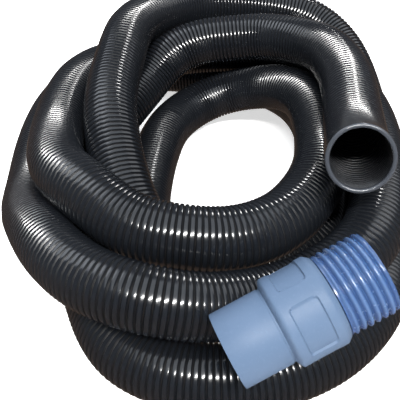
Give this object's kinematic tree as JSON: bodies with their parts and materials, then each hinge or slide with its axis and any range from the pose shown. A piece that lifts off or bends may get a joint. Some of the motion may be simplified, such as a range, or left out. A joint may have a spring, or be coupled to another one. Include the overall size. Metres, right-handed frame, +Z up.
{
  "type": "vacuum hose",
  "caption": "Ribbed flexible pool vacuum hose in a loose oval pile, one end open, with a loose swivel cuff and its ridged threaded bush resting on the front.",
  "frame": {"origin": "middle of the pile's box, on the surface the pile lies on", "axes": "+Z up; -Y is the front, where the cuff lies; +Y runs along the pile's longer side towards its back"},
  "size_m": [0.3716, 0.4958, 0.1585],
  "materials": {
    "hose_black": "glossy near-black spiral-ribbed plastic",
    "cuff_grey_blue": "satin pale grey-blue moulding",
    "bush_clear_blue": "glossy, slightly translucent blue moulding",
    "ring_white": "plain white spring plastic",
    "seal_black": "soft black rubber"
  },
  "bodies": {
    "hose_pile": {"hose": "hose_black"},
    "cuff": {"cuff_body": "cuff_grey_blue", "snap_ring": "ring_white", "seal_ring": "seal_black"},
    "bush": {"threaded_bush": "bush_clear_blue"}
  },
  "joints": [
    {"name": "cuff_lift_off", "type": "slide", "parent": "hose_pile", "child": "cuff", "axis": [0, 0, 1], "range_m": [0, 0.12]},
    {"name": "bush_swivel", "type": "hinge", "parent": "cuff", "child": "bush", "pos_m": [0.0078, -0.2262, 0.0727], "axis": [0.8827, 0.3039, 0.3584], "continuous": true}
  ]
}
